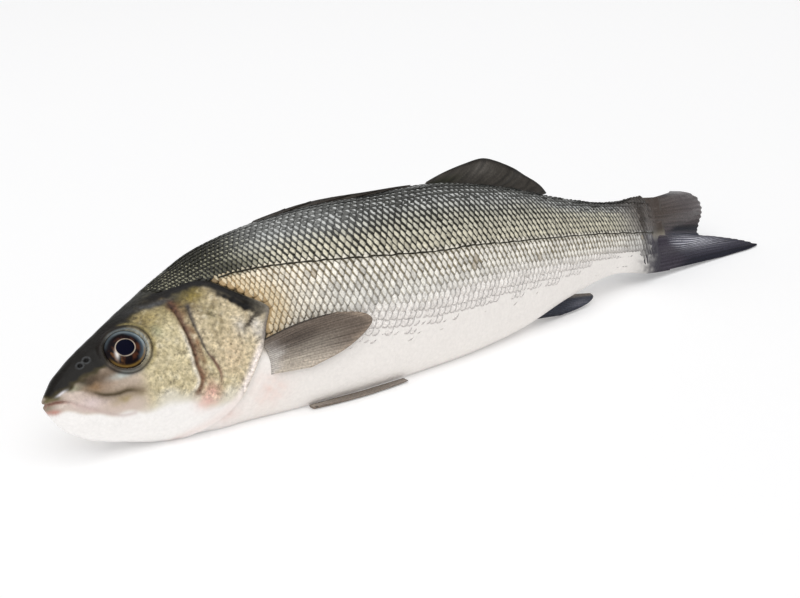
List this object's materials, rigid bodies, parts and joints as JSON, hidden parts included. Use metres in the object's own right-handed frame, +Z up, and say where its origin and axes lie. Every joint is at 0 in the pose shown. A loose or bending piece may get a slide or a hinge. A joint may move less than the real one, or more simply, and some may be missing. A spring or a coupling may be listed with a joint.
{
  "type": "sea bass",
  "caption": "Whole sea bass lying on its belly and leaning on its right side, with its fins folded and its tail fin sagging.",
  "frame": {"origin": "middle of the bottom of the fish's bounding box, on the surface it lies on", "axes": "+X from the snout to the tail, -Y towards the side of the left flank, +Z up"},
  "size_m": [0.4264, 0.0816, 0.082],
  "materials": {
    "skin": "wet scaled skin, dark olive on the back, silver on the flank and white on the belly",
    "eye": "wet, glossy and near black, with a thin pale gold ring around the pupil",
    "fin": "thin wet membrane over fine rays, grey brown"
  },
  "bodies": {
    "root": {"body": "skin", "left_eye": "eye", "right_eye": "eye", "first_dorsal_fin": "fin", "second_dorsal_fin": "fin", "caudal_fin": "fin", "anal_fin": "fin", "left_pectoral_fin": "fin", "right_pectoral_fin": "fin", "left_pelvic_fin": "fin", "right_pelvic_fin": "fin"}
  },
  "joints": []
}
